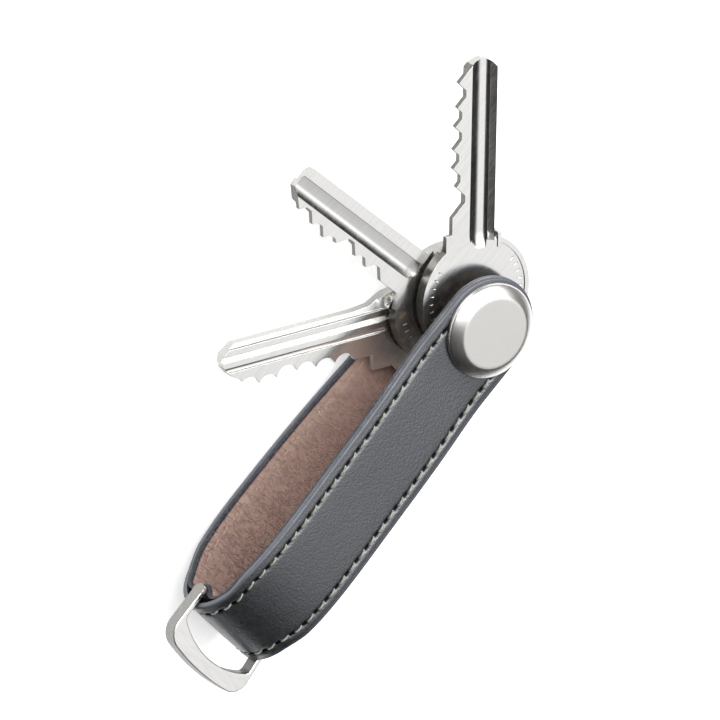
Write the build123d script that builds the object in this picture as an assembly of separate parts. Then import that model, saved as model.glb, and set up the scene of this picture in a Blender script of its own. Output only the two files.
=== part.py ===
from build123d import *
from math import cos, pi, radians, sin
import os

# Key organiser: a leather strap folded in half over a D-ring, with its two ends clamped
# round a stack of keys by a screw post.
# Millimetres. The post's axis is Z, z = 0 is the face of the back cap, the strap runs to -X.

os.makedirs("parts", exist_ok=True)

# ---- strap
STRAP_WIDTH = 19.4
END_RADIUS = STRAP_WIDTH / 2
OUTER_THICKNESS = 1.0
LINING_THICKNESS = 0.8
FRONT_LEAF_TOP = 16.3
BACK_LEAF_BOTTOM = 2.3
FLAT_END_X = -9.4
# The outer leather's outside, from the front cap round the fold to the back cap, as (x, z).
FOLD_POINTS = [
    (FLAT_END_X, FRONT_LEAF_TOP),
    (-20.0, 17.2),
    (-38.0, 18.5),
    (-52.0, 19.2),
    (-63.0, 18.2),
    (-69.5, 14.9),
    (-71.5, 11.0),
    (-70.3, 6.4),
    (-63.4, 2.4),
    (-48.0, 0.8),
    (-28.0, 1.2),
    (FLAT_END_X, BACK_LEAF_BOTTOM),
]
OFFSET_SAMPLES = 48
LINING_SAMPLES = 120
WAIST_START_X = -61.5
WAIST_END_X = -67.0
WAIST_HALF_WIDTH = 9.0
STRAP_REACH_X = -74.0
EYELET_HOLE_RADIUS = 4.0

# ---- lining tunnel: between two heights the lining leaves the outer leather and goes round
# the inner side of the D-ring's bar, through these points, as (x, z)
TUNNEL_TOP = 14.9
TUNNEL_BOTTOM = 6.1
TUNNEL_POINTS = [
    (-68.6, 13.4),
    (-67.95, 11.8),
    (-67.25, 10.6),
    (-67.95, 9.4),
    (-68.9, 7.6),
]

# ---- stitching
STITCH_INSET = 2.4
THREAD_WIDTH = 0.5
THREAD_HEIGHT = 0.2
THREAD_START_X = -5.7
BOBBIN_END_X = -65.5

# ---- caps, post and screw
CAP_RADIUS = 8.9
CAP_HEIGHT = 2.3
CAP_RIM_HEIGHT = 0.9
FRONT_CAP_FLAT_RADIUS = 6.5
BACK_CAP_CHAMFER = 0.9
POST_RADIUS = 3.0
POST_BOTTOM = 1.4
POST_FLANGE_RADIUS = 4.75
POST_FLANGE_HEIGHT = 0.9
POST_BORE_RADIUS = 1.55
POST_BORE_TOP = 14.0
SCREW_HEAD_RADIUS = 5.0
SCREW_HEAD_BOTTOM = 0.1
SCREW_HEAD_TOP = 1.2
SCREW_SHANK_RADIUS = 1.5
SCREW_SHANK_TOP = 12.0
COIN_SLOT_WIDTH = 1.6
COIN_SLOT_DEPTH = 0.6
RUNNING_FIT = 0.05
SIDE_CLEARANCE = 0.1

# ---- stack on the post, from the back leaf to the front leaf
KEY_THICKNESS = 2.2
WASHER_THICKNESS = 0.6
SPACER_THICKNESS = 1.0
EYELET_FLANGE = 0.3
RING_OUTER_RADIUS = 5.5
LEAF_THICKNESS = OUTER_THICKNESS + LINING_THICKNESS
BACK_LEAF_TOP = BACK_LEAF_BOTTOM + LEAF_THICKNESS
FRONT_LEAF_BOTTOM = FRONT_LEAF_TOP - LEAF_THICKNESS
KEY_3_BOTTOM = BACK_LEAF_TOP + EYELET_FLANGE
WASHER_2_BOTTOM = KEY_3_BOTTOM + KEY_THICKNESS
KEY_2_BOTTOM = WASHER_2_BOTTOM + WASHER_THICKNESS
WASHER_1_BOTTOM = KEY_2_BOTTOM + KEY_THICKNESS
KEY_1_BOTTOM = WASHER_1_BOTTOM + WASHER_THICKNESS
SPACER_2_BOTTOM = KEY_1_BOTTOM + KEY_THICKNESS
SPACER_1_BOTTOM = SPACER_2_BOTTOM + SPACER_THICKNESS

# ---- D-ring
BAR_X = -68.5
BAR_Z = 10.6
BAR_RADIUS = 0.95
RING_DEPTH = 2.7
RING_TILT = 6.0
RING_ARM_OUTER_Y = 10.1
RING_CORNER_OUTER_Y = 10.7
RING_ARM_INNER_Y = 9.1
RING_CORNER_INNER_Y = 9.5
RING_LENGTH = 11.1
RING_CORNER_LENGTH = 9.8
RING_HOLE_LENGTH = 8.2
RING_HOLE_CORNER_LENGTH = 5.4
RING_OUTER_CORNER_RADIUS = 3.6
RING_INNER_CORNER_RADIUS = 1.2
RING_EDGE_RADIUS = 0.25

# ---- keys, each in its own frame: hole at the origin, blade along +X, cuts on the +Y side
PIN_PITCH = 3.96
CUT_FLOOR = 1.3
HEAD_RADIUS = 11.3
HEAD_OFFSET = 5.2
HEAD_RIM = 0.9
HEAD_RECESS = 0.18
KEY_LAND_RADIUS = 6.5
MARK_RING_INSET = 1.9
MARK_LENGTH = 0.9
MARK_WIDTH = 0.25
MARK_DEPTH = 0.12
MARK_STEP = 9
MARK_START = 54
GROOVE_END = 17.2
GROOVE_CUTTER_RADIUS = 10.0
GROOVE_CUTTER_TURN = 40
GROOVE_REACH = 60.0
GROOVE_LIFT = 0.5
BLADE_ROOT = 8.0
SCALLOP_RADIUS = 2.1
HOLLOW_STEPS = 5
STEP_DEPTH = 1.15
STEP_REACH = 7.0
STEP_SLOPE = 0.2
LUG_X = 14.9
LUG_Y = -4.75
LUG_LENGTH = 2.8
LUG_WIDTH = 0.7
KEY_1_TURN = 46.7
KEY_2_TURN = 95.7
KEY_3_TURN = 139.0


def ring(outer, inner, bottom, height):
    """A flat ring about the post's axis."""
    blank = Cylinder(outer, height, align=(Align.CENTER, Align.CENTER, Align.MIN))
    hole = Cylinder(inner, height, align=(Align.CENTER, Align.CENTER, Align.MIN))
    return Pos(0, 0, bottom) * (blank - hole)


def disc(radius, bottom, top):
    """A plain cylinder about the post's axis."""
    return Pos(0, 0, bottom) * Cylinder(
        radius, top - bottom, align=(Align.CENTER, Align.CENTER, Align.MIN)
    )


def block(low, high):
    """A box between two corners."""
    size = [h - l for l, h in zip(low, high)]
    return Pos(*low) * Box(*size, align=(Align.MIN, Align.MIN, Align.MIN))


def inset_curve(curve, depth, samples):
    """A curve at an even distance inside another."""
    points = []
    for index in range(samples + 1):
        along = index / samples
        tangent = curve % along
        inward = Vector(-tangent.Z, 0, tangent.X)
        points.append((curve @ along) + inward * depth)
    return Spline(*points, tangents=((-1, 0, 0), (1, 0, 0)))


def strap_fold(depth):
    """The folded stretch of the strap's side profile at a depth under its outer face."""
    outside = Plane.XZ * Spline(*FOLD_POINTS, tangents=((-1, 0), (1, 0)))
    return inset_curve(outside, depth, OFFSET_SAMPLES)


def lining_fold():
    """The same stretch of the lining's outer face, with the tunnel for the D-ring's bar."""
    plain = strap_fold(OUTER_THICKNESS)
    points = [plain @ (index / LINING_SAMPLES) for index in range(LINING_SAMPLES + 1)]
    front = [point for point in points if point.Z > TUNNEL_TOP]
    back = [point for point in points if point.Z < TUNNEL_BOTTOM]
    tunnel = [Vector(x, 0, z) for x, z in TUNNEL_POINTS]
    return Spline(*front, *tunnel, *back, tangents=((-1, 0, 0), (1, 0, 0)))


def layer_profile(near, far, depth, thickness):
    """The side profile of one layer, from the folded stretches of its two faces."""
    front = FRONT_LEAF_TOP - depth
    back = BACK_LEAF_BOTTOM + depth
    tip = END_RADIUS + 1
    return make_face(
        [
            near,
            far,
            Line((tip, 0, front), (FLAT_END_X, 0, front)),
            Line((tip, 0, front - thickness), (FLAT_END_X, 0, front - thickness)),
            Line((tip, 0, front), (tip, 0, front - thickness)),
            Line((tip, 0, back), (FLAT_END_X, 0, back)),
            Line((tip, 0, back + thickness), (FLAT_END_X, 0, back + thickness)),
            Line((tip, 0, back), (tip, 0, back + thickness)),
        ]
    )


def spread(profile, low_y, high_y):
    """A side profile made solid between two sides."""
    return Pos(0, low_y, 0) * extrude(profile, amount=high_y - low_y, dir=(0, 1, 0))


def strap_band(depth, thickness, low_y, high_y):
    """A layer of the folded strap between two depths and two sides."""
    profile = layer_profile(strap_fold(depth), strap_fold(depth + thickness), depth, thickness)
    return spread(profile, low_y, high_y)


def strap_outline():
    """The strap's plan: round at the post, drawn in at the fold so that the ring fits."""
    side = END_RADIUS
    waist = WAIST_HALF_WIDTH
    draw_in = Spline((WAIST_START_X, side), (WAIST_END_X, waist), tangents=((-1, 0), (-1, 0)))
    half = make_face(
        [
            Line((0, 0), (0, side)),
            Line((0, side), (WAIST_START_X, side)),
            draw_in,
            Line((WAIST_END_X, waist), (STRAP_REACH_X, waist)),
            Line((STRAP_REACH_X, waist), (STRAP_REACH_X, 0)),
            Line((STRAP_REACH_X, 0), (0, 0)),
        ]
    )
    plan = half + mirror(half, Plane.XZ) + Circle(END_RADIUS)
    return extrude(plan, amount=FRONT_LEAF_TOP * 2)


def outer_leather():
    band = strap_band(0, OUTER_THICKNESS, -END_RADIUS, END_RADIUS)
    hole = disc(EYELET_HOLE_RADIUS, 0, FRONT_LEAF_TOP + 1)
    return (band & strap_outline()) - hole


def lining_leather():
    near = lining_fold()
    far = inset_curve(near, LINING_THICKNESS, LINING_SAMPLES)
    profile = layer_profile(near, far, OUTER_THICKNESS, LINING_THICKNESS)
    band = spread(profile, -END_RADIUS, END_RADIUS)
    hole = disc(EYELET_HOLE_RADIUS, 0, FRONT_LEAF_TOP + 1)
    return (band & strap_outline()) - hole


def thread(depth, side, end_x):
    """One thread's run along one edge of the strap, as a thin strip on the leather."""
    middle = side * (END_RADIUS - STITCH_INSET)
    low_y = middle - THREAD_WIDTH / 2
    strip = strap_band(depth, THREAD_HEIGHT, low_y, low_y + THREAD_WIDTH)
    keep = block((end_x, -END_RADIUS, -1), (THREAD_START_X, END_RADIUS, FRONT_LEAF_TOP * 2))
    return strip & keep


def front_cap():
    top = FRONT_LEAF_TOP + CAP_HEIGHT
    rim = FRONT_LEAF_TOP + CAP_RIM_HEIGHT
    side = Polyline(
        (0, FRONT_LEAF_TOP),
        (CAP_RADIUS, FRONT_LEAF_TOP),
        (CAP_RADIUS, rim),
        (FRONT_CAP_FLAT_RADIUS, top),
        (0, top),
        close=True,
    )
    cap = revolve(Plane.XZ * make_face(side), Axis.Z)
    pocket_radius = POST_FLANGE_RADIUS + SIDE_CLEARANCE
    return cap - disc(pocket_radius, FRONT_LEAF_TOP, FRONT_LEAF_TOP + POST_FLANGE_HEIGHT)


def back_cap():
    cap = disc(CAP_RADIUS, 0, CAP_HEIGHT)
    cap = chamfer(cap.edges().group_by(Axis.Z)[0], BACK_CAP_CHAMFER)
    cap -= disc(SCREW_HEAD_RADIUS + RUNNING_FIT, 0, SCREW_HEAD_TOP)
    return cap - disc(POST_RADIUS + SIDE_CLEARANCE, 0, CAP_HEIGHT)


def barrel_post():
    post = disc(POST_RADIUS, POST_BOTTOM, FRONT_LEAF_TOP)
    flange = disc(POST_FLANGE_RADIUS, FRONT_LEAF_TOP, FRONT_LEAF_TOP + POST_FLANGE_HEIGHT)
    return post + flange - disc(POST_BORE_RADIUS, POST_BOTTOM, POST_BORE_TOP)


def clamp_screw():
    head = disc(SCREW_HEAD_RADIUS, SCREW_HEAD_BOTTOM, SCREW_HEAD_TOP)
    shank = disc(SCREW_SHANK_RADIUS, SCREW_HEAD_TOP, SCREW_SHANK_TOP)
    reach = SCREW_HEAD_RADIUS + 1
    slot_top = SCREW_HEAD_BOTTOM + COIN_SLOT_DEPTH
    slot = block((-reach, -COIN_SLOT_WIDTH / 2, 0), (reach, COIN_SLOT_WIDTH / 2, slot_top))
    return head + shank - slot


def eyelet(flange_bottom, leaf_bottom):
    """A flanged bush through one leaf."""
    hole = POST_RADIUS + SIDE_CLEARANCE
    flange = ring(RING_OUTER_RADIUS, hole, flange_bottom, EYELET_FLANGE)
    return flange + ring(EYELET_HOLE_RADIUS, hole, leaf_bottom, LEAF_THICKNESS)


def d_ring():
    """The D-ring, made flat with its bar on the Y axis and then tilted at the fold."""
    outer = make_face(
        [
            Line((0, RING_ARM_OUTER_Y), (-RING_CORNER_LENGTH, RING_CORNER_OUTER_Y)),
            ThreePointArc(
                (-RING_CORNER_LENGTH, RING_CORNER_OUTER_Y),
                (-RING_LENGTH, 0),
                (-RING_CORNER_LENGTH, -RING_CORNER_OUTER_Y),
            ),
            Line((-RING_CORNER_LENGTH, -RING_CORNER_OUTER_Y), (0, -RING_ARM_OUTER_Y)),
            Line((0, -RING_ARM_OUTER_Y), (0, RING_ARM_OUTER_Y)),
        ]
    )
    inner = make_face(
        [
            Line((RING_DEPTH, RING_ARM_INNER_Y), (0, RING_ARM_INNER_Y)),
            Line((0, RING_ARM_INNER_Y), (-RING_HOLE_CORNER_LENGTH, RING_CORNER_INNER_Y)),
            ThreePointArc(
                (-RING_HOLE_CORNER_LENGTH, RING_CORNER_INNER_Y),
                (-RING_HOLE_LENGTH, 0),
                (-RING_HOLE_CORNER_LENGTH, -RING_CORNER_INNER_Y),
            ),
            Line((-RING_HOLE_CORNER_LENGTH, -RING_CORNER_INNER_Y), (0, -RING_ARM_INNER_Y)),
            Line((0, -RING_ARM_INNER_Y), (RING_DEPTH, -RING_ARM_INNER_Y)),
            Line((RING_DEPTH, -RING_ARM_INNER_Y), (RING_DEPTH, RING_ARM_INNER_Y)),
        ]
    )
    outer = fillet(outer.vertices().group_by(Axis.X)[0], RING_OUTER_CORNER_RADIUS)
    inner = fillet(inner.vertices().group_by(Axis.X)[0], RING_INNER_CORNER_RADIUS)
    frame = extrude(outer - inner, amount=RING_DEPTH / 2, both=True)
    frame = fillet(frame.edges().filter_by(Axis.Z, reverse=True), RING_EDGE_RADIUS)
    end = Rot(90, 0, 0) * Cylinder(RING_DEPTH / 2, 2 * RING_ARM_OUTER_Y)
    gap = Rot(90, 0, 0) * Cylinder(RING_DEPTH, 2 * RING_ARM_INNER_Y)
    bar = Rot(90, 0, 0) * Cylinder(BAR_RADIUS, 2 * RING_ARM_INNER_Y)
    whole = frame + (end - gap) + bar
    return Pos(BAR_X, 0, BAR_Z) * Rot(0, RING_TILT, 0) * whole


def groove(section, face_z, side):
    """A long groove in a blade: section is (y, depth) points, side +1 front or -1 back.

    The cutter leaves the face at the head along an arc.
    """
    above = face_z + side * GROOVE_LIFT
    points = [(y, face_z - side * depth) for y, depth in section]
    points += [(section[-1][0], above), (section[0][0], above)]
    profile = Plane.YZ.offset(GROOVE_END) * make_face(Polyline(*points, close=True))
    straight = extrude(profile, amount=GROOVE_REACH, dir=(1, 0, 0))
    axle = Axis((GROOVE_END, 0, face_z + side * GROOVE_CUTTER_RADIUS), (0, side, 0))
    return straight + revolve(profile, axle, GROOVE_CUTTER_TURN)


def v_cuts(first, depths, crest):
    """Trapezoid pin cuts with 45 degree flanks, as one sketch."""
    cuts = Sketch()
    for index, depth in enumerate(depths):
        middle = first - index * PIN_PITCH
        rise = crest - depth + 1
        cuts += make_face(
            Polyline(
                (middle - CUT_FLOOR / 2, depth),
                (middle + CUT_FLOOR / 2, depth),
                (middle + CUT_FLOOR / 2 + rise, depth + rise),
                (middle - CUT_FLOOR / 2 - rise, depth + rise),
                close=True,
            )
        )
    return cuts


def scallop_cuts(first, depths, radius):
    """Round pin cuts, as one sketch."""
    cuts = Sketch()
    for index, depth in enumerate(depths):
        cuts += Pos(first - index * PIN_PITCH, depth + radius) * Circle(radius)
    return cuts


def hollow_slope(start, end, depth):
    """A groove's hollow side: steep at its start across the blade, flat where it ends."""
    points = []
    for index in range(HOLLOW_STEPS + 1):
        share = index / HOLLOW_STEPS
        points.append((start + (end - start) * share, depth * share * (2 - share)))
    return points


def cut_side_step(start):
    """The step that leaves the cut side of a blade about half as thick."""
    return [(STEP_REACH, STEP_DEPTH), (start + STEP_SLOPE, STEP_DEPTH), (start, 0.0)]


def head_marks(face_z, side):
    """A plain row of short dashes inside the head's rim."""
    radius = HEAD_RADIUS - MARK_RING_INSET
    marks = []
    for turn in range(MARK_START, 361 - MARK_START, MARK_STEP):
        x = HEAD_OFFSET + radius * cos(radians(turn))
        y = radius * sin(radians(turn))
        dash = Rot(0, 0, turn) * Box(MARK_LENGTH, MARK_WIDTH, 2 * MARK_DEPTH)
        marks.append(Pos(x, y, face_z - side * HEAD_RECESS) * dash)
    return marks


def key(blade, cuts, front_grooves, back_grooves):
    """One flat key: head, blade, pin cuts and milled grooves."""
    plan = make_face(Polyline(*blade, close=True)) - cuts
    plan += Pos(HEAD_OFFSET, 0) * Circle(HEAD_RADIUS)
    plan -= Circle(POST_RADIUS + RUNNING_FIT)
    body = extrude(plan, amount=KEY_THICKNESS)
    recess = HEAD_RADIUS - HEAD_RIM
    body -= Pos(HEAD_OFFSET, 0, 0) * disc(recess, KEY_THICKNESS - HEAD_RECESS, KEY_THICKNESS)
    body -= Pos(HEAD_OFFSET, 0, 0) * disc(recess, 0, HEAD_RECESS)
    for section in front_grooves:
        body -= groove(section, KEY_THICKNESS, 1)
    for section in back_grooves:
        body -= groove(section, 0, -1)
    body += ring(KEY_LAND_RADIUS, POST_RADIUS + RUNNING_FIT, 0, KEY_THICKNESS)
    return body - head_marks(KEY_THICKNESS, 1) - head_marks(0, -1)


def key_1():
    spine = -3.9
    edge = 5.9
    blade = [
        (BLADE_ROOT, spine),
        (47.6, spine),
        (49.0, spine + 1.5),
        (49.8, -0.6),
        (48.9, 1.6),
        (45.9, 4.6),
        (45.9, edge),
        (21.4, edge - 0.5),
        (17.6, edge - 0.5),
        (17.4, 6.6),
        (BLADE_ROOT, 6.6),
    ]
    cuts = v_cuts(43.8, [3.0, 3.8, 3.75, 4.25, 3.9, 2.8], edge)
    front = [hollow_slope(1.7, -0.6, 0.75) + [(-1.95, 0.75), (-2.1, 0.05), (-5.0, 0.65)]]
    back = [
        cut_side_step(2.3),
        [(0.0, 0.0), (-1.0, 0.7), (-1.6, 0.7), (-1.7, 0.0)],
    ]
    lug = Pos(LUG_X, LUG_Y) * Rectangle(LUG_LENGTH, LUG_WIDTH)
    body = key(blade, cuts, front, back)
    return body + extrude(lug, amount=KEY_THICKNESS)


def key_2():
    spine = -4.7
    edge = 4.1
    blade = [
        (BLADE_ROOT, spine),
        (46.9, spine),
        (48.3, -2.3),
        (48.2, -0.2),
        (46.4, 1.4),
        (45.2, 2.4),
        (43.5, edge),
        (BLADE_ROOT, edge),
    ]
    cuts = v_cuts(43.2, [1.5, 2.5, 2.9, 1.4, 2.5, 2.3], edge)
    front = [hollow_slope(0.95, -0.9, 0.55) + [(-2.6, 0.35), (-2.65, 0.0)]]
    back = [
        cut_side_step(1.7),
        [(-1.4, 0.0), (-1.6, 0.8), (-2.6, 0.8), (-3.4, 0.0)],
    ]
    return key(blade, cuts, front, back)


def key_3():
    spine = -5.3
    edge = 3.7
    blade = [
        (BLADE_ROOT, -8.4),
        (15.4, -7.2),
        (18.4, -5.6),
        (22.0, spine),
        (46.8, spine),
        (49.0, -3.6),
        (49.4, -1.6),
        (47.6, 0.6),
        (45.6, 1.7),
        (45.0, edge),
        (18.3, edge),
        (18.3, 6.7),
        (BLADE_ROOT, 6.7),
    ]
    cuts = scallop_cuts(44.0, [1.6, 2.1, 1.2, 1.6, 1.9, 2.0], SCALLOP_RADIUS)
    front = [
        [(-0.1, 0.0), (-0.2, 0.45), (-0.6, 0.45), (-0.7, 0.25), (-1.0, 0.2), (-1.1, 0.0)],
        [(-2.2, 0.0), (-2.35, 0.8), (-3.0, 0.6), (-3.3, 0.0)],
        [(-4.4, 0.0), (-4.55, 0.4), (-6.5, 0.55)],
    ]
    back = [
        cut_side_step(0.9),
        [(-1.2, 0.0), (-1.3, 0.7), (-2.0, 0.7), (-2.1, 0.0)],
    ]
    return key(blade, cuts, front, back)


def placed(key_solid, turn, bottom):
    return Pos(0, 0, bottom) * Rot(0, 0, turn) * key_solid


washer_hole = POST_RADIUS + SIDE_CLEARANCE
parts = {
    "outer_leather": outer_leather(),
    "lining_leather": lining_leather(),
    "needle_thread_left": thread(-THREAD_HEIGHT, 1, STRAP_REACH_X),
    "needle_thread_right": thread(-THREAD_HEIGHT, -1, STRAP_REACH_X),
    "bobbin_thread_left": thread(LEAF_THICKNESS, 1, BOBBIN_END_X),
    "bobbin_thread_right": thread(LEAF_THICKNESS, -1, BOBBIN_END_X),
    "front_cap": front_cap(),
    "back_cap": back_cap(),
    "barrel_post": barrel_post(),
    "clamp_screw": clamp_screw(),
    "front_eyelet": eyelet(FRONT_LEAF_BOTTOM - EYELET_FLANGE, FRONT_LEAF_BOTTOM),
    "back_eyelet": eyelet(BACK_LEAF_TOP, BACK_LEAF_BOTTOM),
    "spacer_1": ring(RING_OUTER_RADIUS, washer_hole, SPACER_1_BOTTOM, SPACER_THICKNESS),
    "spacer_2": ring(RING_OUTER_RADIUS, washer_hole, SPACER_2_BOTTOM, SPACER_THICKNESS),
    "washer_1": ring(RING_OUTER_RADIUS, washer_hole, WASHER_1_BOTTOM, WASHER_THICKNESS),
    "washer_2": ring(RING_OUTER_RADIUS, washer_hole, WASHER_2_BOTTOM, WASHER_THICKNESS),
    "key_1": placed(key_1(), KEY_1_TURN, KEY_1_BOTTOM),
    "key_2": placed(key_2(), KEY_2_TURN, KEY_2_BOTTOM),
    "key_3": placed(key_3(), KEY_3_TURN, KEY_3_BOTTOM),
    "d_ring": d_ring(),
}

for name, shape in parts.items():
    export_step(shape, f"parts/{name}.step")
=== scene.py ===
import math

import bmesh
import bpy
import numpy as np
from mathutils import Matrix, Vector


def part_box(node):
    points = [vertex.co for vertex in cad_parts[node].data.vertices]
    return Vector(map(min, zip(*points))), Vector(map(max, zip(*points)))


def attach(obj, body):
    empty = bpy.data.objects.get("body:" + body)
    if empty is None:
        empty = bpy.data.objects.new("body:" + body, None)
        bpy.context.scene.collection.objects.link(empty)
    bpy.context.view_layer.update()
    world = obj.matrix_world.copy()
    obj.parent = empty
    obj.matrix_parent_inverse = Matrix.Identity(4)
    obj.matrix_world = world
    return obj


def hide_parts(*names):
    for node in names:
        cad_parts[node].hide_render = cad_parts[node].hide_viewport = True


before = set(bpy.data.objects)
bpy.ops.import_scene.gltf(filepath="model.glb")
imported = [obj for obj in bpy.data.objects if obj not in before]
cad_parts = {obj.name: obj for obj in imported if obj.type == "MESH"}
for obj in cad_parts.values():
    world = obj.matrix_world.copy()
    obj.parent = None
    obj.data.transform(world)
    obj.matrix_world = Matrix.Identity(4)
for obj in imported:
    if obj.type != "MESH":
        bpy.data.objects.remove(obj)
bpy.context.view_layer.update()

MM = 0.001

# ---- sizes, in millimetres, in the row frame: the post's axis is Z and the strap runs to -X
FRONT_LEAF_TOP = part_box("front_cap")[0].z / MM
BACK_LEAF_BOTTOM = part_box("back_cap")[1].z / MM
END_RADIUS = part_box("outer_leather")[1].y / MM
CAP_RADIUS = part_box("front_cap")[1].x / MM
OUTER_THICKNESS = 1.0
LINING_THICKNESS = 0.8
FLAT_END_X = -9.4
# The outer leather's outside, from the front cap round the fold to the back cap, as (x, z).
FOLD_POINTS = [
    (FLAT_END_X, FRONT_LEAF_TOP),
    (-20.0, 17.2),
    (-38.0, 18.5),
    (-52.0, 19.2),
    (-63.0, 18.2),
    (-69.5, 14.9),
    (-71.5, 11.0),
    (-70.3, 6.4),
    (-63.4, 2.4),
    (-48.0, 0.8),
    (-28.0, 1.2),
    (FLAT_END_X, BACK_LEAF_BOTTOM),
]
WAIST_START_X = -61.5
WAIST_END_X = -67.0
WAIST_HALF_WIDTH = 9.0
# The lining leaves the outer leather between two heights, to go round the D-ring's bar.
TUNNEL_TOP = 14.9
TUNNEL_BOTTOM = 6.1
TUNNEL_POINTS = [
    (-68.6, 13.4),
    (-67.95, 11.8),
    (-67.25, 10.6),
    (-67.95, 9.4),
    (-68.9, 7.6),
]
STITCH_INSET = 2.3
STITCH_PITCH = 2.92
STITCH_START = END_RADIUS + 5.2
THREAD_RADIUS = 0.2
SEWN_GROOVE_DEPTH = 0.13
SEWN_GROOVE_WIDTH = 0.42
NEEDLE_HOLE_DEPTH = 0.25
NEEDLE_HOLE_WIDTH = 0.32
NEEDLE_HOLE_LENGTH = 0.62
LINING_GROOVE_DEPTH = 0.07
LINING_GROOVE_WIDTH = 0.45
WRINKLE_DEPTH = 0.025
WRINKLE_REACH = 16.0
CREASE_REACH = 24.0
RING_BAR_GAP = 7.5
COLUMN_SPACING = 0.24
PATH_SPACING = 0.1
# Rows of points are close together from the edges to this inset, and sparse between.
FINE_INSET = 3.4
BEVEL_SEGMENTS = 2
BEVEL_ANGLE = 28

# The blades' directions round the post, in degrees.
KEY_TURNS = {"key_1": 46.7, "key_2": 95.7, "key_3": 139.0}
# Faces count as the bitting's when they point this much to the cut side; these get the darkest painted shade.
CUT_FACING = 0.6
# Faces stand up when their normal leans out of the flat by less than this.
UPRIGHT = 0.5
SEAT_GAP = 0.02
# The lining's painted shade round the post: how far it reaches, and how far it fades.
POST_SHADE_RADIUS = 19.0
POST_SHADE_FADE = 8.0
CAP_FLAT_RADIUS = 6.95
CAP_RIM_HEIGHT = 0.9

# ---- view, in metres
CAMERA_PLACE = (-0.1735, 0.8897, 1.1090)
CAMERA_FORWARD = (0.1093, -0.6197, -0.7772)
CAMERA_UP = (0.7754, 0.5424, -0.3234)
CAMERA_LENS = 400
CAMERA_SENSOR = 36
FLOOR_REACH = 4.0
LIGHT_TARGET = (-0.03, 0.01, 0.01)
KEY_LIGHT_PLACE = (0.55, 0.05, 0.90)
KEY_LIGHT_SIZE = (0.6, 0.8)
KEY_LIGHT_WATTS = 8.0
FILL_LIGHT_PLACE = (0.15, 0.80, 0.90)
FILL_LIGHT_SIZE = (0.8, 0.8)
FILL_LIGHT_WATTS = 9.0


# ------------------------------------------------------------------ helpers
def make_object(name, vertices, faces, body, nodes, material):
    """A smooth-shaded mesh object from points in millimetres, riding on a body."""
    mesh = bpy.data.meshes.new(name)
    mesh.from_pydata([tuple(v) for v in np.asarray(vertices) * MM], [], faces)
    mesh.update()
    mesh.polygons.foreach_set("use_smooth", [True] * len(mesh.polygons))
    thing = bpy.data.objects.new(name, mesh)
    bpy.context.scene.collection.objects.link(thing)
    mesh.materials.append(material)
    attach(thing, body)
    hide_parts(*nodes)
    return thing


def tidy_mesh(thing, distance=1e-7):
    """Merges doubled points and makes the normals point out."""
    work = bmesh.new()
    work.from_mesh(thing.data)
    bmesh.ops.remove_doubles(work, verts=work.verts, dist=distance)
    bmesh.ops.dissolve_degenerate(work, dist=distance, edges=work.edges)
    bmesh.ops.recalc_face_normals(work, faces=work.faces)
    work.to_mesh(thing.data)
    work.free()


def smooth_path(points, spacing, start, end):
    """A smooth curve through 2-D points at even spacing, by a cubic spline over chord length.

    start and end are its directions at the two ends.
    """
    points = np.asarray(points, float)
    chord = np.concatenate([[0], np.cumsum(np.hypot(*np.diff(points, axis=0).T))])
    count = len(points)
    matrix = np.zeros((count, count))
    right = np.zeros((count, 2))
    steps = np.diff(chord)
    for i in range(1, count - 1):
        matrix[i, i - 1] = steps[i]
        matrix[i, i] = 2 * (steps[i - 1] + steps[i])
        matrix[i, i + 1] = steps[i - 1]
        right[i] = 3 * (
            steps[i] * (points[i] - points[i - 1]) / steps[i - 1]
            + steps[i - 1] * (points[i + 1] - points[i]) / steps[i]
        )
    matrix[0, 0] = matrix[-1, -1] = 1
    right[0] = start
    right[-1] = end
    slope = np.linalg.solve(matrix, right)
    fine = np.linspace(0, chord[-1], 4000)
    index = np.clip(np.searchsorted(chord, fine, side="right") - 1, 0, count - 2)
    h = steps[index][:, None]
    t = ((fine - chord[index]) / steps[index])[:, None]
    curve = (
        (2 * t**3 - 3 * t**2 + 1) * points[index]
        + (t**3 - 2 * t**2 + t) * h * slope[index]
        + (-2 * t**3 + 3 * t**2) * points[index + 1]
        + (t**3 - t**2) * h * slope[index + 1]
    )
    return resample(curve, spacing)


def resample(curve, spacing):
    """The same curve with its points about the given spacing apart."""
    along = np.concatenate([[0], np.cumsum(np.hypot(*np.diff(curve, axis=0).T))])
    count = max(2, int(round(along[-1] / spacing)) + 1)
    even = np.linspace(0, along[-1], count)
    return np.stack([np.interp(even, along, curve[:, k]) for k in (0, 1)], 1)


class Path:
    """A side profile of the strap, front tip to back tip, with its inward normals."""

    def __init__(self, curve):
        self.points = curve
        self.along = np.concatenate([[0], np.cumsum(np.hypot(*np.diff(curve, axis=0).T))])
        self.length = self.along[-1]
        tangent = np.gradient(curve, self.along, axis=0)
        tangent /= np.hypot(*tangent.T)[:, None]
        self.normals = np.stack([-tangent[:, 1], tangent[:, 0]], 1)

    def at(self, s, depth):
        """Points at distances s and depths under the path, as x and z."""
        x = np.interp(s, self.along, self.points[:, 0])
        z = np.interp(s, self.along, self.points[:, 1])
        nx = np.interp(s, self.along, self.normals[:, 0])
        nz = np.interp(s, self.along, self.normals[:, 1])
        size = np.hypot(nx, nz)
        return x + depth * nx / size, z + depth * nz / size


def half_width(x):
    """The strap's half width at x, away from its round ends."""
    t = np.clip((x - WAIST_START_X) / (WAIST_END_X - WAIST_START_X), 0, 1)
    t = t * t * (3 - 2 * t)
    return END_RADIUS + (WAIST_HALF_WIDTH - END_RADIUS) * t


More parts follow.
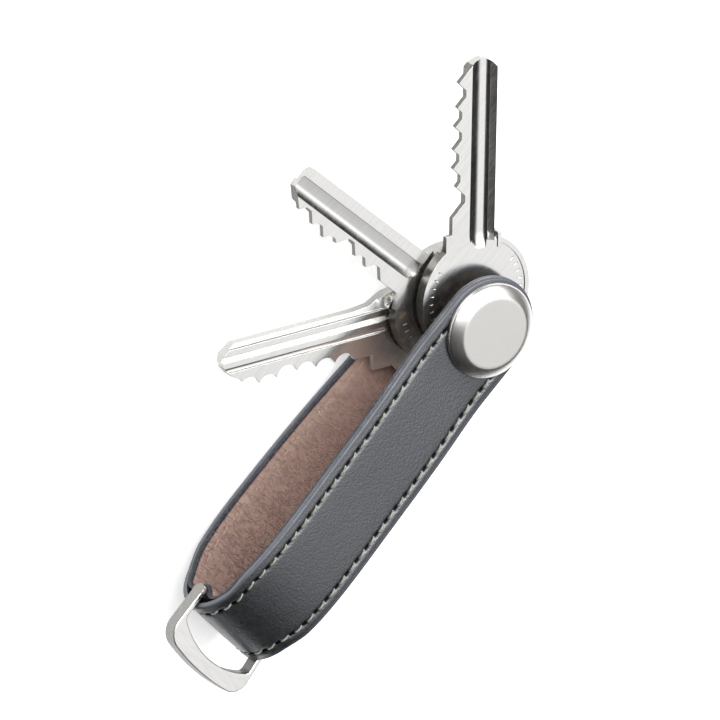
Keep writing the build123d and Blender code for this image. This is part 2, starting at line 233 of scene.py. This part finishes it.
def outer_path():
    """The outer leather's outside face, from tip to tip."""
    fold = smooth_path(FOLD_POINTS, PATH_SPACING, start=(-1, 0), end=(1, 0))
    front = [[END_RADIUS, FRONT_LEAF_TOP]]
    back = [[END_RADIUS, BACK_LEAF_BOTTOM]]
    return Path(resample(np.concatenate([front, fold, back]), PATH_SPACING))


# ------------------------------------------------------------------ materials
def new_material(name):
    material = bpy.data.materials.new(name)
    material.use_nodes = True
    nodes = material.node_tree.nodes
    nodes.clear()
    output = nodes.new("ShaderNodeOutputMaterial")
    shader = nodes.new("ShaderNodeBsdfPrincipled")
    material.node_tree.links.new(shader.outputs[0], output.inputs["Surface"])
    return material, shader


class Graph:
    """Short calls for building one material's nodes."""

    def __init__(self, material):
        self.tree = material.node_tree
        self.coords = self.add("ShaderNodeTexCoord").outputs["Object"]

    def add(self, kind, **settings):
        node = self.tree.nodes.new(kind)
        for name, value in settings.items():
            setattr(node, name, value)
        return node

    def link(self, source, target):
        self.tree.links.new(source, target)

    def mapping(self, scale, turn=0.0):
        node = self.add("ShaderNodeMapping", vector_type="POINT")
        node.inputs["Scale"].default_value = scale
        node.inputs["Rotation"].default_value = (0, 0, math.radians(turn))
        self.link(self.coords, node.inputs["Vector"])
        return node.outputs[0]

    def noise(self, scale, detail=4.0, roughness=0.5, source=None, distortion=0.0):
        node = self.add("ShaderNodeTexNoise")
        node.inputs["Scale"].default_value = scale
        node.inputs["Detail"].default_value = detail
        node.inputs["Roughness"].default_value = roughness
        node.inputs["Distortion"].default_value = distortion
        self.link(source or self.coords, node.inputs["Vector"])
        return node.outputs["Fac"]

    def cells(self, scale):
        node = self.add("ShaderNodeTexVoronoi", feature="SMOOTH_F1")
        node.inputs["Scale"].default_value = scale
        self.link(self.coords, node.inputs["Vector"])
        return node.outputs["Distance"]

    def attribute(self, name):
        return self.add("ShaderNodeAttribute", attribute_name=name).outputs["Fac"]

    def math(self, operation, a, b=None):
        node = self.add("ShaderNodeMath", operation=operation)
        for slot, value in zip(node.inputs, (a, b)):
            if value is None:
                continue
            if isinstance(value, (int, float)):
                slot.default_value = value
            else:
                self.link(value, slot)
        return node.outputs[0]

    def remap(self, value, low, high, new_low, new_high):
        node = self.add("ShaderNodeMapRange")
        for slot, number in zip(node.inputs[1:5], (low, high, new_low, new_high)):
            slot.default_value = number
        self.link(value, node.inputs[0])
        return node.outputs[0]

    def mix(self, factor, a, b):
        node = self.add("ShaderNodeMix", data_type="RGBA")
        for slot, value in ((node.inputs[0], factor), (node.inputs[6], a), (node.inputs[7], b)):
            if isinstance(value, bpy.types.NodeSocket):
                self.link(value, slot)
            elif isinstance(value, (int, float)):
                slot.default_value = value
            else:
                slot.default_value = (*value, 1)
        return node.outputs[2]

    def bump(self, height, strength, distance, normal=None):
        node = self.add("ShaderNodeBump")
        node.inputs["Strength"].default_value = strength
        node.inputs["Distance"].default_value = distance
        self.link(height, node.inputs["Height"])
        if normal:
            self.link(normal, node.inputs["Normal"])
        return node.outputs[0]


def outer_leather_material():
    """Charcoal full-grain leather; the attribute edge paints it, and the needle-hole attribute paints shade
    into the needle holes.
    """
    material, shader = new_material("charcoal_leather")
    g = Graph(material)
    cloud = g.noise(130, 5, 0.6)
    tone = g.mix(g.remap(cloud, 0.35, 0.65, 0, 1), (0.012, 0.0125, 0.014), (0.018, 0.019, 0.022))
    pebbles = g.cells(2300)
    fine = g.noise(4200, 4)
    tone = g.mix(g.remap(pebbles, 0.15, 0.55, 0.0, 0.55), tone, (0.005, 0.0055, 0.0065))
    tone = g.mix(g.remap(fine, 0.50, 0.72, 0.0, 0.55), tone, (0.042, 0.044, 0.049))
    edge = g.attribute("edge")
    paint = g.mix(g.remap(g.noise(700, 3), 0.3, 0.7, 0, 1), (0.012, 0.014, 0.024), (0.020, 0.024, 0.038))
    tone = g.mix(edge, tone, paint)
    # Painted shade: the needle holes are darkened, and their reflections dimmed.
    hole = g.attribute("hole")
    tone = g.mix(hole, tone, (0.002, 0.002, 0.002))
    g.link(tone, shader.inputs["Base Color"])
    g.link(g.mix(hole, (0.92, 0.95, 1.0), (0.02, 0.02, 0.02)), shader.inputs["Specular Tint"])
    rough = g.remap(g.noise(900, 4), 0.3, 0.7, 0.30, 0.40)
    g.link(g.math("ADD", rough, g.math("MULTIPLY", edge, 0.22)), shader.inputs["Roughness"])
    grain = g.math("ADD", g.math("MULTIPLY", pebbles, -0.8), g.math("MULTIPLY", fine, 0.9))
    on_grain = g.math("MULTIPLY", grain, g.math("SUBTRACT", 1.0, g.math("MULTIPLY", edge, 0.85)))
    soft = g.bump(g.noise(420, 3), 0.25, 0.00005)
    g.link(g.bump(on_grain, 0.6, 0.00007, soft), shader.inputs["Normal"])
    shader.inputs["IOR"].default_value = 1.75
    shader.inputs["Specular IOR Level"].default_value = 1.0
    return material


def lining_material():
    """Dusty rose lining leather, finely creased, most near the fold, with painted shade darkening the crease
    lines.
    """
    material, shader = new_material("rose_lining_leather")
    g = Graph(material)
    cloud = g.noise(140, 4, 0.6)
    tone = g.mix(g.remap(cloud, 0.3, 0.7, 0, 1), (0.40, 0.275, 0.235), (0.50, 0.355, 0.305))
    crease = g.noise(2200, 6, 0.65, source=g.mapping(scale=(1, 0.3, 0.8)), distortion=0.9)
    creased = g.attribute("crease")
    lines = g.remap(crease, 0.50, 0.62, 0, 1)
    # Painted shade: the crease lines are darkened, most near the fold.
    tone = g.mix(g.math("MULTIPLY", g.math("MULTIPLY", lines, creased), 0.45), tone, (0.19, 0.105, 0.082))
    speck = g.noise(3600, 4, 0.6)
    tone = g.mix(g.remap(speck, 0.52, 0.70, 0, 0.5), tone, (0.62, 0.48, 0.43))
    # Painted shade: the lining is darkened round the post, under the key heads, so that they reflect it dark.
    post_shade = g.math("MULTIPLY", g.attribute("post_shade"), g.remap(g.noise(600, 4), 0.25, 0.6, 0.85, 1.0))
    tone = g.mix(post_shade, tone, (0.020, 0.017, 0.015))
    tone = g.mix(g.attribute("edge"), tone, (0.016, 0.018, 0.028))
    g.link(tone, shader.inputs["Base Color"])
    g.link(g.remap(g.noise(1200, 4), 0.3, 0.7, 0.34, 0.50), shader.inputs["Roughness"])
    grain = g.math("ADD", g.math("MULTIPLY", g.cells(3000), -0.6), speck)
    relief = g.bump(g.math("MULTIPLY", g.math("SUBTRACT", 1.0, lines), creased), 0.8, 0.00014)
    g.link(g.bump(grain, 0.8, 0.00010, relief), shader.inputs["Normal"])
    shader.inputs["Specular IOR Level"].default_value = 0.6
    return material


def thread_material(name, light, dark):
    material, shader = new_material(name)
    g = Graph(material)
    twist = g.attribute("twist")
    tone = g.mix(g.remap(g.noise(2500, 3), 0.3, 0.7, 0, 1), dark, light)
    g.link(g.mix(g.math("MULTIPLY", twist, 0.6), tone, dark), shader.inputs["Base Color"])
    g.link(g.remap(g.noise(4000, 2), 0.3, 0.7, 0.5, 0.7), shader.inputs["Roughness"])
    g.link(g.bump(twist, 0.5, 0.00008), shader.inputs["Normal"])
    shader.inputs["Sheen Weight"].default_value = 0.2
    return material


def metal_material(name, light, dark, low, high, streak=(1, 1, 1), turn=0.0, scale=2500, relief=0.1):
    """Worn metal: streak stretches the finishing marks, low and high are its roughness."""
    material, shader = new_material(name)
    g = Graph(material)
    marks = g.noise(scale, 5, 0.6, source=g.mapping(scale=streak, turn=turn))
    wear = g.noise(90, 4, 0.55)
    tone = g.mix(g.remap(marks, 0.3, 0.7, 0, 1), dark, light)
    g.link(tone, shader.inputs["Base Color"])
    mixed = g.math("ADD", g.math("MULTIPLY", marks, 0.6), g.math("MULTIPLY", wear, 0.4))
    g.link(g.remap(mixed, 0.35, 0.65, low, high), shader.inputs["Roughness"])
    g.link(g.bump(marks, relief, 0.00002), shader.inputs["Normal"])
    shader.inputs["Metallic"].default_value = 1.0
    return material


def plastic_material(name, tone):
    material, shader = new_material(name)
    g = Graph(material)
    lighter = tuple(2 * c for c in tone)
    g.link(g.mix(g.remap(g.noise(1500, 3), 0.4, 0.7, 0, 1), tone, lighter), shader.inputs["Base Color"])
    g.link(g.remap(g.noise(3000, 3), 0.3, 0.7, 0.45, 0.6), shader.inputs["Roughness"])
    g.link(g.bump(g.noise(5000, 2), 0.2, 0.00002), shader.inputs["Normal"])
    return material


# ------------------------------------------------------------------ strap
def columns(path, spacing):
    """Stations along the strap: (distance, outline y, plan normal along s, plan normal along y)."""
    rows = []
    turns = np.radians(np.linspace(0, 90, 31))[:-1]
    for a in turns:
        rows.append((END_RADIUS * (1 - math.cos(a)), END_RADIUS * math.sin(a), -math.cos(a), math.sin(a)))
    count = int((path.length - 2 * END_RADIUS) / spacing)
    for s in np.linspace(END_RADIUS, path.length - END_RADIUS, count):
        x, _ = path.at(s, 0)
        rows.append((s, float(half_width(x)), 0.0, 1.0))
    for a in turns[::-1]:
        rows.append(
            (path.length - END_RADIUS * (1 - math.cos(a)), END_RADIUS * math.sin(a), math.cos(a), math.sin(a))
        )
    return np.array(rows)


def face_insets():
    """Distances in from the edge that the faces have lines at."""
    near = np.array([0.45, 0.62, 0.85, 1.15, 1.5])
    stitch = np.linspace(1.75, FINE_INSET, 12)
    return np.concatenate([near, stitch])


def strap_layer(name, path, thickness, relief, edge_top, edge_bottom, nodes, material):
    """One closed layer of the strap, under a path.

    relief(s, y, inset, part) gives how far the face is pressed in, and how much painted shade it gets as a
    needle hole.
    edge_top and edge_bottom are the radii that round the top and bottom of its edge.
    """
    stations = columns(path, COLUMN_SPACING)
    insets = face_insets()
    shares = np.linspace(1, 0, 9)[1:]

    def half():
        """Rows from the centre line to the edge on one face, as (inset, share, depth)."""
        rows = [(FINE_INSET, share, 0.0) for share in shares[::-1]]
        rows += [(inset, 1.0, 0.0) for inset in insets[::-1]]
        return rows

    def corner(radius, start):
        """Rows round one corner, from the face down the side."""
        steps = np.radians(np.linspace(0, 90, 7))
        return [(radius * (1 - math.sin(a)), start + radius * (1 - math.cos(a))) for a in steps]

    top = half()
    bottom = half()[::-1]
    rounded = [(inset, depth, "side") for inset, depth in corner(edge_top, 0)]
    rounded += [(inset, thickness - depth, "side") for inset, depth in corner(edge_bottom, 0)[::-1]]
    vertices = []
    edge = []
    place = []
    hole = []
    for s0, y0, ns, ny in stations:
        ring = []
        for sign in (1, -1):
            side = []
            for inset, share, _ in top:
                side.append((s0 - ns * inset, (y0 - ny * inset) * share, inset, 0.0, "top"))
            for inset, depth, _ in rounded:
                side.append((s0 - ns * inset, y0 - ny * inset, inset, depth, "side"))
            for inset, share, _ in bottom:
                side.append((s0 - ns * inset, (y0 - ny * inset) * share, inset, thickness, "bottom"))
            if sign < 0:
                side = side[::-1][1:-1]
            ring += [(s, sign * y, inset, depth, part) for s, y, inset, depth, part in side]
        for s, y, inset, depth, part in ring:
            extra, dark = relief(s, y, y0 - abs(y), part)
            x, z = path.at(s, depth + extra)
            vertices.append((x, y, z))
            edge.append(1.0 if part == "side" else float(np.clip((0.7 - (y0 - abs(y))) / 0.2, 0, 1)))
            hole.append(dark)
            place.append(s)
    per_ring = len(ring)
    faces = []
    for i in range(len(stations) - 1):
        for j in range(per_ring):
            k = (j + 1) % per_ring
            a, b = i * per_ring, (i + 1) * per_ring
            faces.append((a + j, a + k, b + k, b + j))
    thing = make_object(name, vertices, faces, "strap", nodes, material)
    for label, values in (("edge", edge), ("hole", hole)):
        attribute = thing.data.attributes.new(label, "FLOAT", "POINT")
        attribute.data.foreach_set("value", values)
    return thing, place


def stitch_places(path):
    """Distances of the needle holes along the path, on both leaves and round the fold."""
    count = int((path.length - 2 * STITCH_START) / STITCH_PITCH)
    middle = path.length / 2
    return [middle + (k - count / 2) * STITCH_PITCH for k in range(count + 1)]


def build_strap():
    """The outer leather, with a sewn groove and needle holes along both edges."""
    path = outer_path()
    holes = np.array(stitch_places(path))

    def outside_relief(s, y, inset, part):
        if part != "top":
            return 0.0, 0.0
        off = inset - STITCH_INSET
        groove = SEWN_GROOVE_DEPTH * math.exp(-((off / SEWN_GROOVE_WIDTH) ** 2))
        nearest = np.abs(holes - s).min()
        pit = math.exp(-((off / NEEDLE_HOLE_WIDTH) ** 2) - (nearest / NEEDLE_HOLE_LENGTH) ** 4)
        ridge = -0.07 * math.exp(-(((off + 0.75) / 0.5) ** 2))
        swell = -0.05 * (1 - math.exp(-max(off - 0.3, 0) / 1.0))
        crown = ridge + swell
        # The second value is how much painted shade the needle hole gets.
        return groove + NEEDLE_HOLE_DEPTH * pit + crown, min(1.0, 2.0 * pit)

    outer, _ = strap_layer(
        "outer_leather_skin", path, OUTER_THICKNESS, outside_relief, 0.42, 0.05,
        ["outer_leather"], outer_leather_material(),
    )
    tidy_mesh(outer)
    return path, holes


def lining_path(path):
    """The lining's inside face: against the outer leather but for the D-ring's tunnel."""
    under = path.points + path.normals * OUTER_THICKNESS
    half = len(under) // 2
    front = [p for p in under[:half] if p[1] > TUNNEL_TOP]
    back = [p for p in under[half:] if p[1] < TUNNEL_BOTTOM]
    step = 12
    through = front[::step] + TUNNEL_POINTS + back[::-1][::step][::-1]
    near = Path(smooth_path(through, PATH_SPACING, start=(-1, 0), end=(1, 0)))
    return Path(resample(near.points + near.normals * LINING_THICKNESS, PATH_SPACING))


def build_lining(path):
    """The lining, laid from its inside face out to the outer leather."""
    inside = Path(lining_path(path).points)
    inside.normals = -inside.normals
    bridge = inside.length / 2

    def wrinkles(s, y, inset, part):
        if part != "top":
            return 0.0, 0.0
        near = math.exp(-((abs(s - bridge) / WRINKLE_REACH) ** 2))
        wave = math.sin(s * 3.1 + 0.8 * math.sin(y * 0.5) + 1.7) + math.sin(s * 5.3 + 0.6 * math.sin(y * 0.9))
        off = inset - STITCH_INSET
        groove = LINING_GROOVE_DEPTH * math.exp(-((off / LINING_GROOVE_WIDTH) ** 2))
        return WRINKLE_DEPTH * near * wave + groove, 0.0

    lining, place = strap_layer(
        "lining_leather_skin", inside, LINING_THICKNESS - 0.02, wrinkles, 0.38, 0.05,
        ["lining_leather"], lining_material(),
    )
    crease = [0.5 + 0.5 * math.exp(-((abs(s - bridge) / CREASE_REACH) ** 2)) for s in place]
    reach = [math.hypot(v.co.x, v.co.y) / MM for v in lining.data.vertices]
    post_shade = [float(np.clip((POST_SHADE_RADIUS - r) / POST_SHADE_FADE, 0, 1)) for r in reach]
    for label, values in (("crease", crease), ("post_shade", post_shade)):
        attribute = lining.data.attributes.new(label, "FLOAT", "POINT")
        attribute.data.foreach_set("value", values)
    tidy_mesh(lining)
    return inside


def thread_row(name, path, side, holes, material, nodes, radius, slant, proud):
    """Separate stitches along one edge: each comes up at one hole and goes down at the next."""
    vertices = []
    faces = []
    twist = []
    around = 10
    along = 13
    for start, end in zip(holes[:-1], holes[1:]):
        base = len(vertices)
        for i in range(along):
            t = i / (along - 1)
            s = start + (end - start) * (0.17 + 0.66 * t)
            lift = math.sin(math.pi * t) ** 0.5
            depth = 0.34 * (1 - lift) - proud * lift
            x, z = path.at(s, depth)
            width = float(half_width(x)) - STITCH_INSET + slant * (t - 0.5)
            thick = radius * (0.78 + 0.22 * lift)
            ahead = path.at(s + 0.05, depth)
            tangent = np.array([ahead[0] - x, ahead[1] - z])
            tangent /= np.hypot(*tangent)
            normal = np.array([-tangent[1], tangent[0]])
            for k in range(around):
                a = 2 * math.pi * k / around
                ply = 1 + 0.07 * math.sin(3 * a + 9 * t)
                across = math.cos(a) * thick * ply
                up = math.sin(a) * thick * 0.8 * ply
                vertices.append((x + normal[0] * up, side * (width + across), z + normal[1] * up))
                twist.append(0.5 + 0.5 * math.sin(3 * a + 9 * t))
        for i in range(along - 1):
            for k in range(around):
                m = (k + 1) % around
                a, b = base + i * around, base + (i + 1) * around
                faces.append((a + k, a + m, b + m, b + k))
        faces.append(tuple(base + k for k in range(around))[::-1])
        faces.append(tuple(base + (along - 1) * around + k for k in range(around)))
    thing = make_object(name, vertices, faces, "strap", nodes, material)
    attribute = thing.data.attributes.new("twist", "FLOAT", "POINT")
    attribute.data.foreach_set("value", twist)
    tidy_mesh(thing)
    return thing


def build_threads(path, holes, inner):
    """Needle thread outside and bobbin thread inside, along both edges."""
    needle = thread_material("grey_thread", (0.50, 0.50, 0.43), (0.20, 0.20, 0.165))
    bobbin = thread_material("tan_thread", (0.62, 0.50, 0.36), (0.33, 0.24, 0.16))
    for label, side in (("left", 1), ("right", -1)):
        thread_row(
            f"needle_stitches_{label}", path, side, holes, needle,
            [f"needle_thread_{label}"], THREAD_RADIUS, -0.42 * side, 0.06,
        )
    inside = stitch_places(inner)
    middle = inner.length / 2
    for label, side in (("left", 1), ("right", -1)):
        for part, kept in (
            ("front", [s for s in inside if s < middle - RING_BAR_GAP]),
            ("back", [s for s in inside if s > middle + RING_BAR_GAP]),
        ):
            thread_row(
                f"bobbin_stitches_{label}_{part}", inner, side, kept, bobbin,
                [f"bobbin_thread_{label}"], THREAD_RADIUS, 0.3 * side, 0.05,
            )


# ------------------------------------------------------------------ metal pieces
def bevelled_copy(node, name, body, material, width):
    """A copy of a CAD node's shape with its sharp edges softened."""
    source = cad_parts[node]
    mesh = source.data.copy()
    mesh.materials.clear()
    mesh.materials.append(material)
    work = bmesh.new()
    work.from_mesh(mesh)
    bmesh.ops.remove_doubles(work, verts=work.verts, dist=1e-6)
    bmesh.ops.dissolve_limit(
        work, angle_limit=math.radians(1.0), verts=work.verts, edges=work.edges
    )
    bmesh.ops.recalc_face_normals(work, faces=work.faces)
    work.to_mesh(mesh)
    work.free()
    thing = bpy.data.objects.new(name, mesh)
    bpy.context.scene.collection.objects.link(thing)
    bevel = thing.modifiers.new("soft_edges", "BEVEL")
    bevel.width = width * MM
    bevel.segments = BEVEL_SEGMENTS
    bevel.limit_method = "ANGLE"
    bevel.angle_limit = math.radians(BEVEL_ANGLE)
    bevel.use_clamp_overlap = True
    # Large flats stay flat, and only narrow facets share their shading.
    shading = thing.modifiers.new("flat_faces", "WEIGHTED_NORMAL")
    shading.mode = "FACE_AREA"
    shading.weight = 50
    mesh.polygons.foreach_set("use_smooth", [True] * len(mesh.polygons))
    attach(thing, body)
    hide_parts(node)
    return thing


def lathe(name, profile, body, nodes, material, around=128):
    """A closed turned piece about the post's axis from (radius, z) points, axis to axis."""
    vertices = []
    faces = []
    for k in range(around):
        a = 2 * math.pi * k / around
        vertices += [(r * math.cos(a), r * math.sin(a), z) for r, z in profile]
    count = len(profile)
    for k in range(around):
        a, b = k * count, ((k + 1) % around) * count
        for i in range(count - 1):
            faces.append((a + i, b + i, b + i + 1, a + i + 1))
    thing = make_object(name, vertices, faces, body, nodes, material)
    tidy_mesh(thing)
    return thing


def build_caps():
    """The two caps and the clamped stack between them."""
    steel = metal_material(
        "blasted_steel", (0.86, 0.845, 0.82), (0.76, 0.745, 0.72), 0.29, 0.38, scale=9000, relief=0.25
    )
    low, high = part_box("front_cap")
    bottom, top = low.z / MM, high.z / MM
    rim = bottom + CAP_RIM_HEIGHT
    flat = CAP_FLAT_RADIUS
    profile = [(0, top), (flat - 0.8, top)]
    # The bevel swells a little between the flat and the rim.
    for t in np.linspace(0, 1, 14):
        r = flat - 0.4 + (CAP_RADIUS - 0.12 - flat + 0.4) * t
        drop = (top - rim - 0.1) * (0.55 * t + 0.45 * t * t) * (1 - math.exp(-t * 9))
        profile.append((r, top - drop))
    profile += [(CAP_RADIUS - 0.02, rim - 0.12), (CAP_RADIUS, rim - 0.3)]
    profile += [(CAP_RADIUS, bottom + 0.15), (CAP_RADIUS - 0.12, bottom), (0, bottom)]
    lathe("front_cap_disc", profile, "strap", ["front_cap"], steel)
    bevelled_copy("back_cap", "back_cap_disc", "strap", steel, 0.12)
    post = metal_material("turned_steel", (0.70, 0.70, 0.70), (0.55, 0.55, 0.55), 0.22, 0.34)
    for node in ("barrel_post", "front_eyelet", "back_eyelet"):
        bevelled_copy(node, node + "_turned", "strap", post, 0.08)
    screw = bevelled_copy("clamp_screw", "clamp_screw_turned", "screw", post, 0.10)
    # The head sits just clear of its seat, so that the two turn past each other.
    screw.data.transform(Matrix.Translation((0, 0, -SEAT_GAP * MM)))
    nylon = plastic_material("black_nylon", (0.012, 0.012, 0.013))
    for node in ("spacer_1", "spacer_2", "washer_1", "washer_2"):
        bevelled_copy(node, node + "_ring", "strap", nylon, 0.08)


def refinish(thing, material, chosen):
    """Gives another material to the faces whose direction the function chosen accepts."""
    thing.data.materials.append(material)
    for face in thing.data.polygons:
        if chosen(face.normal):
            face.material_index = len(thing.data.materials) - 1


def build_keys():
    """Three nickel keys: their upright sides are rougher and painted darker as shade, darkest on the side
    that faces the cuts.
    """
    shaded_sides = metal_material("shaded_side_nickel", (0.52, 0.515, 0.50), (0.36, 0.355, 0.34), 0.30, 0.45)
    shaded_cut_sides = metal_material("cut_side_shaded_nickel", (0.20, 0.195, 0.18), (0.10, 0.098, 0.09), 0.30, 0.45)
    for node, turn in KEY_TURNS.items():
        nickel = metal_material(
            "nickel_" + node, (0.93, 0.925, 0.91), (0.83, 0.82, 0.80), 0.13, 0.24,
            streak=(0.04, 1, 1), turn=-turn, scale=2600, relief=0.06,
        )
        key = bevelled_copy(node, node + "_cut", node, nickel, 0.09)
        angle = math.radians(turn)
        cut_side = Vector((-math.sin(angle), math.cos(angle), 0))
        refinish(key, shaded_sides, lambda normal: abs(normal.z) < UPRIGHT)
        refinish(key, shaded_cut_sides, lambda normal: abs(normal.z) < UPRIGHT and normal.dot(cut_side) > CUT_FACING)


def build_ring():
    """The D-ring, brushed on its two flats; its sides are rougher and painted darker as shade."""
    steel = metal_material(
        "brushed_ring_steel", (0.92, 0.91, 0.89), (0.80, 0.79, 0.77), 0.26, 0.38,
        streak=(1, 0.12, 1), scale=2200, relief=0.15,
    )
    # Painted shade: the ring's sides get a much darker steel.
    rim = metal_material(
        "shaded_ring_side_steel", (0.30, 0.296, 0.285), (0.20, 0.197, 0.187), 0.34, 0.46, scale=4000
    )
    ring = bevelled_copy("d_ring", "d_ring_cast", "ring", steel, 0.10)
    flat = max(ring.data.polygons, key=lambda face: face.area).normal.copy()
    refinish(ring, rim, lambda normal: abs(normal.dot(flat)) < UPRIGHT)


# ------------------------------------------------------------------ stage, lights and camera
def build_stage():
    """A plain white floor."""
    mesh = bpy.data.meshes.new("floor")
    corners = [(-1, -1), (1, -1), (1, 1), (-1, 1)]
    mesh.from_pydata([(FLOOR_REACH * x, FLOOR_REACH * y, 0) for x, y in corners], [], [(0, 1, 2, 3)])
    floor = bpy.data.objects.new("floor", mesh)
    bpy.context.scene.collection.objects.link(floor)
    material, shader = new_material("pale_floor")
    shader.inputs["Base Color"].default_value = (0.90, 0.90, 0.90, 1)
    shader.inputs["Roughness"].default_value = 0.9
    shader.inputs["Emission Color"].default_value = (1, 1, 1, 1)
    shader.inputs["Emission Strength"].default_value = 0.5
    mesh.materials.append(material)


def area_light(name, place, size, power):
    light = bpy.data.lights.new(name, "AREA")
    light.shape = "RECTANGLE"
    light.size, light.size_y = size
    light.energy = power
    thing = bpy.data.objects.new(name, light)
    bpy.context.scene.collection.objects.link(thing)
    thing.location = place
    aim = Vector(LIGHT_TARGET) - Vector(place)
    thing.rotation_euler = aim.to_track_quat("-Z", "Y").to_euler()


def build_lights():
    """A bright ceiling that is dark at the horizon and over the fold, and two large soft lights."""
    world = bpy.data.worlds.new("studio")
    bpy.context.scene.world = world
    world.use_nodes = True
    tree = world.node_tree
    coords = tree.nodes.new("ShaderNodeTexCoord")
    split = tree.nodes.new("ShaderNodeSeparateXYZ")
    tree.links.new(coords.outputs["Generated"], split.inputs[0])
    ramp = tree.nodes.new("ShaderNodeValToRGB")
    ramp.color_ramp.interpolation = "EASE"
    stops = [(0.50, 0.015), (0.62, 0.25), (0.72, 0.90), (1.0, 1.15)]
    elements = ramp.color_ramp.elements
    for index, (place, value) in enumerate(stops):
        element = elements[index] if index < 2 else elements.new(place)
        element.position = place
        element.color = (value, value, value, 1)
    tree.links.new(split.outputs["Z"], ramp.inputs[0])
    side = tree.nodes.new("ShaderNodeMapRange")
    for socket, number in zip(side.inputs[1:5], (-0.35, 0.35, 0.05, 1.45)):
        socket.default_value = number
    tree.links.new(split.outputs["X"], side.inputs[0])
    tree.links.new(ramp.outputs[0], tree.nodes["Background"].inputs["Color"])
    tree.links.new(side.outputs[0], tree.nodes["Background"].inputs["Strength"])
    area_light("key_light", KEY_LIGHT_PLACE, KEY_LIGHT_SIZE, KEY_LIGHT_WATTS)
    area_light("fill_light", FILL_LIGHT_PLACE, FILL_LIGHT_SIZE, FILL_LIGHT_WATTS)


def build_camera():
    """A long lens from above the side that the keys fan out on."""
    camera = bpy.data.cameras.new("camera")
    camera.sensor_width = CAMERA_SENSOR
    camera.lens = CAMERA_LENS
    camera.clip_end = 20
    thing = bpy.data.objects.new("camera", camera)
    bpy.context.scene.collection.objects.link(thing)
    forward = Vector(CAMERA_FORWARD).normalized()
    up = Vector(CAMERA_UP).normalized()
    right = forward.cross(up).normalized()
    up = right.cross(forward)
    turn = Matrix((right, up, -forward)).transposed().to_4x4()
    thing.matrix_world = Matrix.Translation(CAMERA_PLACE) @ turn
    bpy.context.scene.camera = thing


bpy.context.scene.view_settings.view_transform = "Standard"
build_camera()
build_stage()
build_lights()
strap_path, needle_holes = build_strap()
lining_inside = build_lining(strap_path)
build_threads(strap_path, needle_holes, lining_inside)
build_caps()
build_keys()
build_ring()
